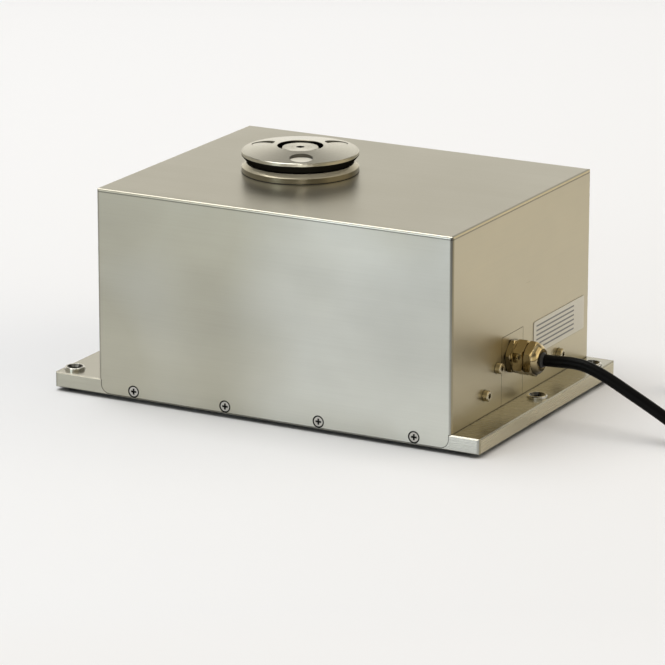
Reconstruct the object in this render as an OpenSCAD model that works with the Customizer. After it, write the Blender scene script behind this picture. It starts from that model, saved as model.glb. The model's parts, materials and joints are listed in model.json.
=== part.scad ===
// Precision weighing cell: a stainless hood on a thick base plate, a round load plate on
// top, a cable gland at the side, and a force-compensating lever mechanism inside.
// Millimetres, +Z up. The origin is the centre of the base plate's footprint, on the floor.

/* [Base plate] */
// Length of the base plate along X
plate_l = 243; // [238:1:260]
// Depth of the base plate along Y
plate_d = 156; // [152:1:176]
// Thickness of the base plate
plate_t = 8; // [7:0.5:12]
// Radius of the plate's upright corners
plate_r = 2; // [1:0.5:5]
// Chamfer along the plate's top and bottom edges
plate_bevel = 0.6; // [0.3:0.1:1]

/* [Mounting bushes] */
// Height of the plate above the floor, which is how far each bush stands below it
bush_foot = 2; // [1:0.25:4]
// Diameter of the bush's collar above the plate
bush_ring_d = 10.3; // [9.6:0.1:12]
// Height of that collar above the plate
bush_ring_h = 1.5; // [1:0.1:3]
// Diameter of the bush's body in the plate
bush_body_d = 8; // [7.4:0.1:9]
// Bore for the fixing screw
bush_bore_d = 5.5; // [4.5:0.1:6]
// Mouth of the countersink in the collar
bush_mouth_d = 8.4; // [7.6:0.1:9]
// Distance from each end of the plate to the bush centres
bush_end = 6.8; // [6:0.1:7.5]
// Distance from the plate's front and back edges to the left bushes
bush_side = 9; // [7:0.25:20]
// Distance from the plate's back edge to the rear right bush
bush_back = 14; // [8:0.5:40]

/* [Hood] */
// Width of the flange left of the hood
flange_l = 26.5; // [20:0.5:28]
// Width of the flange right of the hood
flange_r = 15.5; // [14:0.5:20]
// Height of the hood above the plate
hood_h = 99.9; // [97.5:0.2:120]
// Thickness of the hood's sheet
sheet_t = 1.5; // [1:0.1:2]
// Radius of the hood's upright edges
hood_edge_r = 1.7; // [1.2:0.1:4]
// Radius of the hood's top edges
hood_top_r = 1.2; // [1:0.1:3]
// Distance that the front and back walls hang down over the plate
apron_drop = 7; // [6:0.25:7.5]
// Radius of the lower corners of those walls
apron_r = 4.5; // [2:0.5:6]
// Gap round the hanging walls in their recess
apron_gap = 0.3; // [0.1:0.05:0.5]

/* [Fasteners] */
// Head diameter of the countersunk screws
csk_head_d = 5.5; // [5.3:0.1:6]
// Diameter of the screws' threads
screw_d = 3; // [2.5:0.1:3.2]
// Distance between neighbouring screws along the front and back
apron_pitch = 53.3; // [48:0.1:58]
// Head diameter of the cap screws
cap_head_d = 5.5; // [5:0.1:6]
// Head height of the cap screws
cap_head_h = 3; // [2.5:0.1:3.5]
// Width across flats of the cap screws' sockets
cap_socket = 2.5; // [2:0.1:2.8]
// Distance of the side screws from the plate's middle, to front and back
side_screw_y = 42.2; // [38:0.1:46]
// Height of the side screws above the plate
side_screw_z = 10.8; // [9:0.1:12]

/* [Load plate] */
// Distance of the load axis from the inside of the hood's left wall
load_in = 71; // [69:0.5:72.5]
// Place of the load axis along Y
load_y = 3; // [0:0.5:4]
// Diameter of the load plate and of the collar ring below it
disc_d = 60; // [58:0.5:64]
// Height of the load plate's middle above the hood
disc_top = 13.2; // [12.8:0.1:16]
// Height of the load plate's upper rim edge above the hood
disc_edge = 11; // [10.4:0.1:11.4]
// Height of the rim's lower edge above the hood
disc_rim = 8.8; // [8:0.1:9.6]
// Diameter of the central recess
recess_d = 23.6; // [22:0.2:26]
// Floor of the recess above the hood
recess_floor = 8.4; // [8:0.1:9]
// Diameter of the three blind pockets
pocket_d = 12; // [10:0.5:13]
// Distance of the pockets from the load axis
pocket_at = 21.7; // [20.5:0.1:22.5]
// Depth of the pockets below the load plate's middle
pocket_deep = 2.4; // [2.3:0.1:3.6]
// Head diameter of the load screw
load_head_d = 19; // [17:0.2:20]
// Height of the load screw's head
load_head_h = 4.1; // [3:0.1:4.4]
// Diameter of the load screw's thread
load_screw_d = 6; // [5:0.5:8]
// Height of the collar ring's side
collar_side = 3; // [2.6:0.1:3.6]
// Height of the collar ring's top above the hood
collar_top = 4.9; // [4.6:0.1:5.2]
// Thickness of the gasket below the collar ring
gasket_t = 0.3; // [0.2:0.1:1]
// Bore of the collar ring
collar_bore = 32; // [30:0.5:34]
// Diameter at the bottom of the groove between load plate and collar ring
groove_d = 55.2; // [54:0.2:57]
// Gap between the load plate's underside and the collar ring
groove_gap = 0.7; // [0.6:0.05:1]
// Wall of the threaded sleeve that holds the collar ring in the hood
sleeve_t = 2.5; // [2:0.1:3]

/* [Cable gland] */
// Place of the gland's axis along Y
gland_y = -11.2; // [-14:0.1:-9]
// Height of the gland's axis above the plate
gland_z = 23.4; // [22:0.1:25]
// Width across flats of the gland's hexagons
gland_af = 16; // [15:0.5:17]
// Diameter of the gland's thread
gland_thread_d = 12; // [11:0.5:13]
// Thickness of the locknut
locknut_t = 3; // [2.5:0.1:3.5]
// Length of the hexagonal body outside the locknut
gland_hex_l = 6.2; // [5.5:0.1:7]
// Length of the dome nut
dome_l = 7; // [6.5:0.1:8]
// Diameter of the seal where it swells out of the dome nut
seal_d = 7.8; // [7.4:0.1:8.2]
// Diameter of the cable
cable_d = 6; // [5.5:0.1:6.4]
// Width of the notch in the hood for the gland's pad
notch_w = 24.2; // [22:0.1:26]
// Height of that notch above the plate
notch_h = 35.5; // [34:0.5:38]
// Gap round the pad in the notch
notch_gap = 0.25; // [0.15:0.05:0.4]
// Thickness of the bracket plate behind the hood
bracket_t = 3; // [2.5:0.1:4]

/* [Label plate] */
// Distance from the gland's notch to the label plate
label_gap = 11.7; // [9:0.1:20]
// Height of the label plate
label_h = 17.5; // [14:0.5:23]
// Thickness of the label plate
label_t = 0.3; // [0.2:0.05:0.5]
// Distance from the hood's rear corner to the label plate
label_side = 6.4; // [5:0.2:16]

/* [Mechanism] */
// Width of the load hanger along X
hanger_w = 16; // [14:0.5:17]
// Length of the hanger's ledges under the guides
ledge_l = 10; // [9.5:0.1:11]
// Distance between a guide's two flexing necks
guide_l = 46; // [44:0.5:47]
// Thickness of the guides
guide_t = 4; // [3:0.25:4.5]
// Thickness left at a guide's flexing necks
neck_t = 0.5; // [0.3:0.05:0.8]
// Height of the lower guide's underside above the plate
guide_low = 14; // [13.5:0.25:15]
// Height of the upper guide's underside above the plate
guide_high = 78; // [77.5:0.25:79]
// Distance from the coupling strip to the lever's pivot
short_arm = 12; // [11.5:0.1:13]
// Distance from the coil's axis to the inside of the hood's right wall
coil_in_wall = 29.75; // [28.9:0.05:30.3]
// Height of the lever beam
lever_h = 8; // [6:0.5:9]
// Width of the lever beam
lever_w = 12; // [10:0.5:13]
// Height of the lever's underside above the plate
lever_z = 56; // [55.5:0.1:57]
// Thickness of the flexing strips
strip_t = 0.5; // [0.3:0.05:0.6]
// Outer diameter of the magnet pot
pot_d = 40; // [39:0.5:41]
// Height of the magnet pot
pot_h = 44; // [42:0.5:45]
// Bore of the magnet pot
pot_bore = 33; // [32:0.5:34]
// Diameter of the pole piece
pole_d = 21; // [19:0.5:22]
// Gap between a guide's pad and its seat
seat_gap = 0.15; // [0.1:0.05:0.2]

/* [Calibration] */
// Diameter of the calibration weight
weight_d = 24; // [22:0.5:25]
// Length of the calibration weight's thick part
weight_l = 64; // [60:1:66]
// Diameter of the weight's two grooves
weight_groove_d = 16; // [14:0.5:18]
// Diameter of the weight's end pins
weight_pin_d = 10; // [8:0.5:11]
// Distance of the weight's axis left of the load axis
weight_at = 32; // [31:0.5:34]
// Height of the weight's axis above the plate while it is lifted
weight_z = 42; // [41.5:0.25:44]
// Travel of the weight lifter
lift = 3; // [2:0.25:3]
// Diameter of the lifting spindle
spindle_d = 5.8; // [5:0.1:6.2]

/* [Hidden] */
$fn = 64;
eps = 0.01;
// Running clearance of a shaft in its bore
run_gap = 0.1;
// Play between pieces that are only set side by side
play = 0.3;

plate_z = bush_foot;
deck = plate_z + plate_t;
hood_z = deck + hood_h;
hood_left = -plate_l / 2 + flange_l;
hood_right = plate_l / 2 - flange_r;
hood_l = hood_right - hood_left;
hood_mid = (hood_left + hood_right) / 2;
load_x = hood_left + sheet_t + load_in;
front = -plate_d / 2;
back = plate_d / 2;
wall_left = hood_left + sheet_t;
wall_right = hood_right - sheet_t;

// Screws along the front and back walls sit at the middle of the plate's edge
apron_screws = [for (i = [-1.5:1:1.5]) hood_mid + i * apron_pitch];
apron_screw_z = plate_z + plate_t / 2;
apron_screw_l = 10;
// A countersunk head lies a little below its face and has a short straight rim
csk_sunk = 0.1;
csk_rim = 0.25;
csk_cone = (csk_head_d - screw_d) / 2;
csk_deep = csk_sunk + csk_rim + csk_cone;

bush_spots = [
  [-plate_l / 2 + bush_end, front + bush_side],
  [-plate_l / 2 + bush_end, back - bush_side],
  [plate_l / 2 - bush_end, 0],
  [plate_l / 2 - bush_end, back - bush_back]
];

gland_h = deck + gland_z;
gland_hex_x = hood_right + locknut_t + 0.5;
dome_x = gland_hex_x + gland_hex_l;
gland_tip = dome_x + dome_l;

// Heights of the mechanism, all above the deck
low_seat = deck + guide_low;
high_seat = deck + guide_high;
lever_low = deck + lever_z;
hanger_right = load_x + hanger_w / 2;
hanger_left = load_x - hanger_w / 2;
ledge_x = hanger_right + ledge_l;
free_neck_x = ledge_x + 2;
fixed_neck_x = free_neck_x + guide_l;
strip_x = ledge_x + strip_t / 2 + 0.15;
pivot_x = strip_x + short_arm;
pivot_z = lever_low + lever_h + 2;
coil_x = wall_right - coil_in_wall;
vane_x = coil_x + 10;
slab_t = 6;
slab_top = deck + slab_t;
cheek_t = 6;
cheek_in = 20;
pad_l = 9;
sensor_x = coil_x + pot_d / 2 + 1.5;
sensor_w = 4.5;
slab_end = sensor_x + sensor_w + 0.5;

weight_x = load_x - weight_at;
weight_h = deck + weight_z;
groove_at = 17;
groove_w = 6;
prong_t = 4;
fork_in = weight_l / 2 + 1.5;
fork_t = 6;
beam_low = deck + 12.5;
beam_h = 6;
motor_d = 28;
motor_h = 8;
spindle_low = deck + motor_h + play;
guide_pin_d = 5;
guide_pin_at = 26;

board_y = front + 16;
board_t = 1.6;
board_l = 110;
board_h = 62;
board_x = hood_mid + 4.5;
board_z = deck + 16;

// Route of the cable from the gland down to the floor, hand-picked points in the XZ plane
cable_y = gland_y;
cable_run = [
  [gland_tip - 3.6, gland_h], [128, 33.6], [135, 34], [140, 34.1], [145, 33.7], [150, 32.4],
  [156, 30.2], [162, 27.5], [168, 24.5], [174, 21.5], [180, 18.5], [186, 15.4], [192, 12.2],
  [198, 9.1], [204, 6.3], [210, 4.3], [216, 3.3], [222, 3], [229, 3], [236, 3]
];
coil_at = [236, 31.8];
coil_r = 43;
coil_in = 20.5;
coil_out = 46;
coil_h = 12;
// Tail of the cable from the coil's upper turn down to the connector
plug_y = 74.8;
plug_z = 7.25;
tail_run = [[236, 9], [231, 9], [226, 8.8], [221, 8.3], [216, 7.7], [211, 7.3], [206, 7.25],
  [202, 7.25]];
plug_x = 202;
plug_r = 7.25;

// A rectangle with rounded corners, centred
module round_rect(w, d, r) {
  square([w - 2 * r, d], center = true);
  square([w, d - 2 * r], center = true);
  for (x = [-1, 1])
    for (y = [-1, 1])
      translate([x * (w / 2 - r), y * (d / 2 - r)]) circle(r);
}

// A rectangle standing on the X axis, with its two upper corners rounded
module arch(w, h, r) {
  translate([-w / 2, 0]) square([w, h - r]);
  translate([-w / 2 + r, 0]) square([w - 2 * r, h]);
  for (x = [-1, 1]) translate([x * (w / 2 - r), h - r]) circle(r);
}

// The same with its two lower corners rounded, hanging down from the X axis
module hanging_arch(w, h, r) {
  mirror([0, 1]) arch(w, h, r);
}

// A bevelled rectangle, centred
module bevel_rect(w, h, b) {
  polygon([
    [-w / 2 + b, -h / 2], [w / 2 - b, -h / 2], [w / 2, -h / 2 + b], [w / 2, h / 2 - b],
    [w / 2 - b, h / 2], [-w / 2 + b, h / 2], [-w / 2, h / 2 - b], [-w / 2, -h / 2 + b]
  ]);
}

// Profiles drawn in X and Z, carried along Y between two places
module along_y(y0, y1) {
  translate([0, y1, 0]) rotate([90, 0, 0]) linear_extrude(y1 - y0) children();
}

// Profiles drawn in Y and Z, carried along X between two places
module along_x(x0, x1) {
  translate([x0, 0, 0]) rotate([90, 0, 90]) linear_extrude(x1 - x0) children();
}

// A block between two corners
module block(low, high) {
  translate(low) cube(high - low);
}

// A screw pointing down -Z with its head's seat at the origin
module cap_screw(head_d, head_h, shank_d, shank_l, socket) {
  difference() {
    union() {
      cylinder(d = head_d, h = head_h - 0.4);
      translate([0, 0, head_h - 0.4]) cylinder(d1 = head_d, d2 = head_d - 0.8, h = 0.4);
      translate([0, 0, -shank_l]) cylinder(d = shank_d, h = shank_l + eps);
    }
    translate([0, 0, head_h / 2]) cylinder(d = socket / cos(30), h = head_h, $fn = 6);
  }
}

// A countersunk screw pointing down -Z, with the face that it lies below at the origin
module csk_screw() {
  slot_w = 1;
  slot_l = 3.2;
  slot_deep = 1;
  difference() {
    union() {
      translate([0, 0, -csk_sunk - csk_rim]) cylinder(d = csk_head_d, h = csk_rim);
      translate([0, 0, -csk_deep]) cylinder(d1 = screw_d, d2 = csk_head_d, h = csk_cone);
      translate([0, 0, -apron_screw_l]) cylinder(d = screw_d, h = apron_screw_l - csk_deep + eps);
    }
    for (turn = [0, 90])
      rotate([0, 0, turn]) translate([0, 0, -csk_sunk])
        cube([slot_l, slot_w, 2 * slot_deep], center = true);
  }
}

// The countersink and the clear hole behind it
module csk_sink() {
  hole_d = screw_d + 0.1;
  translate([0, 0, -csk_deep]) cylinder(d1 = hole_d, d2 = hole_d + 2 * csk_deep, h = csk_deep);
  translate([0, 0, -eps]) cylinder(d = hole_d + 2 * csk_deep, h = 1);
  translate([0, 0, -csk_deep - 2]) cylinder(d = hole_d, h = 2 + eps);
}

// Puts a screw on the front wall (side -1) or the back wall (side 1)
module on_apron(side, x) {
  translate([x, side < 0 ? front : back, apron_screw_z]) rotate([side < 0 ? 90 : -90, 0, 0])
    children();
}

module base_plate() {
  recess = sheet_t + 0.1;
  color("gainsboro") difference() {
    intersection() {
      translate([0, 0, plate_z]) linear_extrude(plate_t) round_rect(plate_l, plate_d, plate_r);
      translate([0, 0, deck - plate_t / 2]) along_y(front - 1, back + 1)
        bevel_rect(plate_l, plate_t, plate_bevel);
      translate([0, 0, deck - plate_t / 2]) along_x(-plate_l / 2 - 1, plate_l / 2 + 1)
        bevel_rect(plate_d, plate_t, plate_bevel);
    }
    for (side = [-1, 1])
      translate([hood_mid, 0, deck + 1])
        along_y(side < 0 ? front - 1 : back - recess, side < 0 ? front + recess : back + 1)
          hanging_arch(hood_l - 2 * hood_edge_r + 2 * apron_gap, apron_drop + apron_gap + 1,
            apron_r + apron_gap);
    for (side = [-1, 1], x = apron_screws)
      on_apron(side, x) {
        csk_sink();
        translate([0, 0, -apron_screw_l - 2]) cylinder(d = screw_d + 0.1, h = apron_screw_l + 3);
      }
    for (spot = bush_spots)
      translate([spot.x, spot.y, plate_z - 1]) cylinder(d = bush_body_d + 0.1, h = plate_t + 2);
    for (spot = deck_holes())
      translate([spot.x, spot.y, plate_z + 1.5]) cylinder(d = spot.z + 0.1, h = plate_t);
  }
}

// Blind holes in the plate's top, each as X, Y and diameter
function deck_holes() = concat(
  [for (s = carrier_spots()) [s.x, s.y, carrier_screw_d]],
  [for (y = block_ys) [block_x(-1), y, screw_d]],
  [for (y = block_ys) [block_x(1), y, screw_d]],
  [for (y = stop_ys) [load_x, y, stop_d]],
  [for (y = [-1, 1]) [weight_x, load_y + y * guide_pin_at, guide_pin_d - 0.1]],
  [for (x = board_foot_xs) [x, board_foot_y, screw_d]],
  [[bracket_foot_x, bracket_foot_y, screw_d]]
);

module mounting_bushes() {
  color("silver") for (spot = bush_spots)
    translate([spot.x, spot.y, 0]) rotate_extrude() bush_profile();
}

module bush_profile() {
  bore = bush_bore_d / 2;
  mouth = bush_mouth_d / 2;
  ring = bush_ring_d / 2;
  top = deck + bush_ring_h;
  polygon([
    [bore, 0], [bush_body_d / 2 - 0.4, 0], [bush_body_d / 2, 0.4], [bush_body_d / 2, deck],
    [ring, deck], [ring, top - 0.3], [ring - 0.3, top], [mouth, top],
    [bore, top - (mouth - bore)]
  ]);
}

module hood_skin(grow, low, high) {
  w = hood_l - 2 * grow;
  d = plate_d - 2 * grow;
  up_r = max(hood_edge_r - grow, 0.3);
  top_r = max(hood_top_r - grow, 0.3);
  translate([hood_mid, 0, low]) intersection() {
    linear_extrude(high - low) round_rect(w, d, up_r);
    along_y(-d, d) arch(w, high - low, top_r);
    along_x(-w, w) arch(d, high - low, top_r);
  }
}

module hood() {
  color("lightsteelblue") difference() {
    union() {
      difference() {
        hood_skin(0, deck, hood_z);
        hood_skin(sheet_t, deck - 1, hood_z - sheet_t);
      }
      for (side = [-1, 1])
        translate([hood_mid, 0, deck + 2])
          along_y(side < 0 ? front : back - sheet_t, side < 0 ? front + sheet_t : back)
            hanging_arch(hood_l - 2 * hood_edge_r, apron_drop + 2, apron_r);
    }
    for (side = [-1, 1], x = apron_screws) on_apron(side, x) csk_sink();
    for (side = [-1, 1], y = block_ys)
      translate([side < 0 ? hood_left - 1 : wall_right - 1, y, deck + side_screw_z])
        rotate([0, 90, 0]) cylinder(d = screw_d + 0.3, h = sheet_t + 2);
    for (y = bracket_screw_ys)
      translate([wall_right - 1, y, bracket_screw_z]) rotate([0, 90, 0])
        cylinder(d = screw_d + 0.3, h = sheet_t + 2);
    block([wall_right - 1, gland_y - notch_w / 2, deck - 1],
      [hood_right + 1, gland_y + notch_w / 2, deck + notch_h]);
    translate([load_x, load_y, hood_z - sheet_t - 1]) cylinder(d = sleeve_d + 0.4, h = sheet_t + 2);
  }
}

// Blocks inside the hood's side walls, which take the side screws
block_ys = [-side_screw_y, side_screw_y];
block_size = [10, 12, 16];
function block_x(side) = side < 0 ? wall_left + block_size.x / 2 : wall_right - block_size.x / 2;

module hood_blocks() {
  color("silver") for (side = [-1, 1], y = block_ys)
    difference() {
      translate([block_x(side), y, deck + block_size.z / 2]) cube(block_size, center = true);
      translate([side < 0 ? hood_left - 1 : wall_right - 8, y, deck + side_screw_z])
        rotate([0, 90, 0]) cylinder(d = screw_d + 0.1, h = 8 + sheet_t + 1);
    }
}

module hood_front_screws() {
  color("silver") for (x = apron_screws) on_apron(-1, x) csk_screw();
}

module hood_back_screws() {
  color("silver") for (x = apron_screws) on_apron(1, x) csk_screw();
}

side_screw_l = 8;

module hood_side_screws() {
  color("silver") for (side = [-1, 1], y = block_ys)
    translate([side < 0 ? hood_left : hood_right, y, deck + side_screw_z])
      rotate([0, 90 * side, 0]) cap_screw(cap_head_d, cap_head_h, screw_d, side_screw_l, cap_socket);
}

module label_plate() {
  label_low = deck + notch_h - 1 - label_h;
  label_front = gland_y + notch_w / 2 + label_gap;
  label_w = back - label_side - label_front;
  color("whitesmoke") translate([0, label_front + label_w / 2, label_low + label_h / 2])
    along_x(hood_right, hood_right + label_t) round_rect(label_w, label_h, 1);
}

// The bracket has a raised pad that fills the hood's notch, flush with the hood
bracket_screw_at = 17.2;
bracket_screw_ys = [gland_y - bracket_screw_at, gland_y + bracket_screw_at];
bracket_screw_z = gland_h - 2;
bracket_half = bracket_screw_at + 6;
bracket_h = notch_h + 5;
bracket_foot_l = 10;
bracket_foot_w = 8;
bracket_foot_x = wall_right - bracket_t - bracket_foot_l / 2;
bracket_foot_y = gland_y - bracket_half + bracket_foot_w / 2;

module gland_bracket() {
  inner = wall_right - bracket_t;
  color("silver") difference() {
    union() {
      block([inner, gland_y - bracket_half, deck],
        [wall_right, gland_y + bracket_half, deck + bracket_h]);
      block([inner, gland_y - notch_w / 2 + notch_gap, deck],
        [hood_right, gland_y + notch_w / 2 - notch_gap, deck + notch_h - notch_gap]);
      block([inner - bracket_foot_l, gland_y - bracket_half, deck],
        [inner + eps, gland_y - bracket_half + bracket_foot_w, deck + 3]);
    }
    translate([inner - 1, gland_y, gland_h]) rotate([0, 90, 0])
      cylinder(d = gland_thread_d + 0.1, h = bracket_t + sheet_t + 2);
    for (y = bracket_screw_ys)
      translate([inner - 1, y, bracket_screw_z]) rotate([0, 90, 0])
        cylinder(d = screw_d + 0.1, h = bracket_t + 2);
    translate([bracket_foot_x, bracket_foot_y, deck - 1]) cylinder(d = screw_d + 0.3, h = 6);
  }
}

module bracket_side_screws() {
  color("silver") for (y = bracket_screw_ys)
    translate([hood_right, y, bracket_screw_z]) rotate([0, 90, 0])
      cap_screw(cap_head_d, cap_head_h, screw_d, 4, cap_socket);
}

module bracket_foot_screws() {
  color("silver") translate([bracket_foot_x, bracket_foot_y, deck + 3])
    cap_screw(cap_head_d, cap_head_h, screw_d, 8, cap_socket);
}

// A hexagon across its flats with both ends turned to a slight cone
module turned_hex(af, h, turn) {
  corner = af / cos(30);
  intersection() {
    rotate([0, 0, turn]) cylinder(d = corner, h = h, $fn = 6);
    rotate_extrude() polygon([
      [0, 0], [af / 2, 0], [corner / 2, 0.7], [corner / 2, h - 0.7], [af / 2, h], [0, h]
    ]);
  }
}

// Puts a piece on the gland's axis, pointing out of the hood
module on_gland(x) {
  translate([x, gland_y, gland_h]) rotate([0, 90, 0]) children();
}

module gland_locknut() {
  color("darkkhaki") on_gland(hood_right) difference() {
    turned_hex(gland_af, locknut_t, 18);
    translate([0, 0, -1]) cylinder(d = gland_thread_d + 0.1, h = locknut_t + 2);
  }
}

module gland_body() {
  thread_l = 13;
  color("darkkhaki") on_gland(gland_hex_x) difference() {
    union() {
      turned_hex(gland_af, gland_hex_l - 0.4, 3);
      translate([0, 0, -0.5]) cylinder(d = gland_af + 0.8, h = 1);
      translate([0, 0, -thread_l]) cylinder(d = gland_thread_d, h = thread_l);
      cylinder(d = gland_af - 2.6, h = gland_hex_l + 3);
    }
    translate([0, 0, -thread_l - 1]) cylinder(d = cable_d + 1, h = thread_l + gland_hex_l + 6);
  }
}

module gland_dome_nut() {
  hex_l = dome_l * 0.6;
  bore = gland_af - 2.4;
  mouth = seal_d / 2 + 0.1;
  color("darkkhaki") on_gland(dome_x) difference() {
    union() {
      turned_hex(gland_af, hex_l, 3);
      translate([0, 0, hex_l - 0.8]) rotate_extrude() intersection() {
        translate([0, -1]) square([gland_af, dome_l - hex_l + 1.8]);
        translate([gland_af / 2 - 4, 0]) circle(4);
      }
      translate([0, 0, hex_l - 0.8]) cylinder(r = gland_af / 2 - 4, h = dome_l - hex_l + 0.8);
    }
    translate([0, 0, -1]) cylinder(d = bore, h = 4.2);
    translate([0, 0, -1]) cylinder(r = mouth, h = dome_l + 3);
  }
}

module gland_seal() {
  bulge = seal_d / 2;
  inner = cable_d / 2;
  color("black") on_gland(gland_tip) rotate_extrude() polygon([
    [inner, -3.6], [bulge - 0.2, -3.6], [bulge - 0.2, -0.6], [bulge, -0.2], [bulge, 0.4],
    [bulge - 0.6, 1.1], [inner + 0.2, 1.6], [inner, 1.6]
  ]);
}

sleeve_d = collar_bore + 2 * sleeve_t;

module collar_gasket() {
  color("black") translate([load_x, load_y, hood_z]) difference() {
    cylinder(d = disc_d - 1, h = gasket_t);
    translate([0, 0, -1]) cylinder(d = sleeve_d + 0.4, h = gasket_t + 2);
  }
}

module collar_ring() {
  bore = collar_bore / 2;
  rim = disc_d / 2;
  sleeve_low = -sheet_t - 6;
  color("silver") translate([load_x, load_y, hood_z]) rotate_extrude() polygon([
    [bore, sleeve_low], [sleeve_d / 2, sleeve_low], [sleeve_d / 2, gasket_t], [rim, gasket_t],
    [rim, collar_side], [groove_d / 2, collar_top], [groove_d / 2 - 5, collar_top],
    [groove_d / 2 - 5.6, collar_top - 2], [bore, collar_top - 2]
  ]);
}

module collar_nut() {
  nut_h = 4;
  color("silver") translate([load_x, load_y, hood_z - sheet_t - nut_h]) difference() {
    cylinder(d = sleeve_d + 10, h = nut_h);
    translate([0, 0, -1]) cylinder(d = sleeve_d + 0.1, h = nut_h + 2);
    for (turn = [0:90:270])
      rotate([0, 0, turn]) translate([sleeve_d / 2 + 4, -1.5, -1]) cube([3, 3, nut_h + 2]);
  }
}

// The load plate's underside, above the hood
disc_low = collar_top + groove_gap;

module load_plate() {
  rim = disc_d / 2;
  foot = groove_d / 2;
  pocket_floor = disc_top - pocket_deep;
  color("silver") translate([load_x, load_y, hood_z]) difference() {
    rotate_extrude() polygon([
      [0, disc_low], [foot - 0.3, disc_low], [foot, disc_low + 0.3], [rim, disc_rim],
      [rim, disc_edge - 0.3], [rim - 0.3, disc_edge], [recess_d / 2 + 0.2, disc_top],
      [0, disc_top]
    ]);
    translate([0, 0, recess_floor]) cylinder(d = recess_d, h = disc_top);
    cylinder(d = load_screw_d + 0.4, h = disc_top);
    for (turn = [-60, 60, 180])
      rotate([0, 0, turn]) translate([pocket_at, 0, pocket_floor])
        cylinder(d = pocket_d, h = disc_top);
  }
}

module load_screw() {
  shank_l = 16;
  color("whitesmoke") translate([load_x, load_y, hood_z + recess_floor])
    cap_screw(load_head_d, load_head_h, load_screw_d, shank_l, 4);
}

post_d = 14;
hanger_half = 10;
ledge_half = 8;
ledge_t = 6;
arm_low = low_seat + guide_t + 6;
arm_h = 8;
travel_down = 0.25;
travel_up = 0.1;

// The hanger carries the load plate and hangs between the two guides
module load_hanger() {
  post_top = hood_z + disc_low;
  hanger_low = low_seat - ledge_t;
  hanger_top = high_seat + guide_t;
  saddle_x = weight_x;
  prong_top = weight_h - lift - 3;
  color("lightgrey") difference() {
    union() {
      block([hanger_left, load_y - hanger_half, hanger_low],
        [hanger_right, load_y + hanger_half, hanger_top]);
      translate([load_x, load_y, hanger_top - 1]) cylinder(d = post_d, h = post_top - hanger_top + 1);
      for (z = [low_seat, high_seat])
        block([hanger_right - 1, load_y - ledge_half, z - ledge_t],
          [ledge_x, load_y + ledge_half, z - seat_gap]);
      block([hanger_right - 1, load_y - 6, arm_low], [ledge_x, load_y + 6, arm_low + arm_h]);
      for (side = [-1, 1])
        along_prong(side) polygon([
          [hanger_left + 1, prong_top - 16], [hanger_left + 1, prong_top],
          [saddle_x - 11, prong_top], [saddle_x - 11, prong_top - 8],
          [saddle_x, prong_top - 16]
        ]);
      block([hanger_left - 3, load_y - groove_at - prong_t / 2, prong_top - 16],
        [hanger_left + 1, load_y + groove_at + prong_t / 2, prong_top]);
    }
    translate([saddle_x, 0, weight_h - lift]) rotate([90, 0, 0])
      cylinder(d = weight_groove_d + 0.6, h = 200, center = true);
    translate([load_x, load_y, post_top - 24]) cylinder(d = load_screw_d + 0.1, h = 25);
    for (z = [low_seat, high_seat], y = guide_free_ys)
      translate([guide_free_screw_x, y, z - 5]) cylinder(d = screw_d + 0.1, h = 6);
    translate([load_x, 0, deck + 44]) rotate([90, 0, 0]) cylinder(d = 9, h = 100, center = true);
  }
}

module along_prong(side) {
  y = load_y + side * groove_at;
  along_y(y - prong_t / 2, y + prong_t / 2) children();
}

// A guide is an A-shaped plate whose two round-notched necks do the flexing
guide_half = 19;
guide_free_screw_x = hanger_right + 4;
guide_free_ys = [load_y - 4, load_y + 4];
guide_fixed_screw_x = fixed_neck_x + 2 + pad_l / 2;
guide_fixed_ys = [load_y - 14, load_y + 14];

module guide(seat) {
  left = hanger_right + play;
  right = fixed_neck_x + 2 + pad_l;
  notch_r = 1.6;
  color("lightgrey") difference() {
    translate([0, load_y, seat]) linear_extrude(guide_t) difference() {
      polygon([
        [left, -ledge_half], [free_neck_x + 4, -ledge_half], [fixed_neck_x - 4, -guide_half],
        [right, -guide_half], [right, guide_half], [fixed_neck_x - 4, guide_half],
        [free_neck_x + 4, ledge_half], [left, ledge_half]
      ]);
      polygon([
        [free_neck_x + 9, -2], [fixed_neck_x - 5, -9], [right + 1, -9], [right + 1, 9],
        [fixed_neck_x - 5, 9], [free_neck_x + 9, 2]
      ]);
    }
    for (x = [free_neck_x, fixed_neck_x], side = [-1, 1])
      translate([x, load_y, seat + guide_t / 2 + side * (notch_r + neck_t / 2)])
        rotate([90, 0, 0]) cylinder(r = notch_r, h = 60, center = true);
    for (x = [free_neck_x, fixed_neck_x], side = [-1, 1])
      translate([x, load_y, seat + guide_t / 2 + side * (notch_r + neck_t / 2 + 2)])
        cube([2 * notch_r, 60, 4], center = true);
    for (y = guide_free_ys)
      translate([guide_free_screw_x, y, seat - 1]) cylinder(d = screw_d + 0.6, h = guide_t + 2);
    for (y = guide_fixed_ys)
      translate([guide_fixed_screw_x, y, seat - 1]) cylinder(d = screw_d + 0.6, h = guide_t + 2);
  }
}

module upper_guide() {
  guide(high_seat);
}

module lower_guide() {
  guide(low_seat);
}

module guide_screw() {
  cap_screw(cap_head_d, 2, screw_d, guide_t + seat_gap + 4, 2);
}

module guide_carrier_screws() {
  color("silver") for (z = [low_seat, high_seat], y = guide_fixed_ys)
    translate([guide_fixed_screw_x, y, z + guide_t + seat_gap]) guide_screw();
}

module guide_hanger_screws() {
  color("silver") for (z = [low_seat, high_seat], y = guide_free_ys)
    translate([guide_free_screw_x, y, z + guide_t + seat_gap]) guide_screw();
}

// The strip carries the hanger's pull up to the lever's short arm
module coupling_strip() {
  color("goldenrod") block([strip_x - strip_t / 2 - 0.15, load_y - 4, arm_low],
    [strip_x + strip_t / 2 - 0.15, load_y + 4, lever_low + lever_h]);
}

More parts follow.
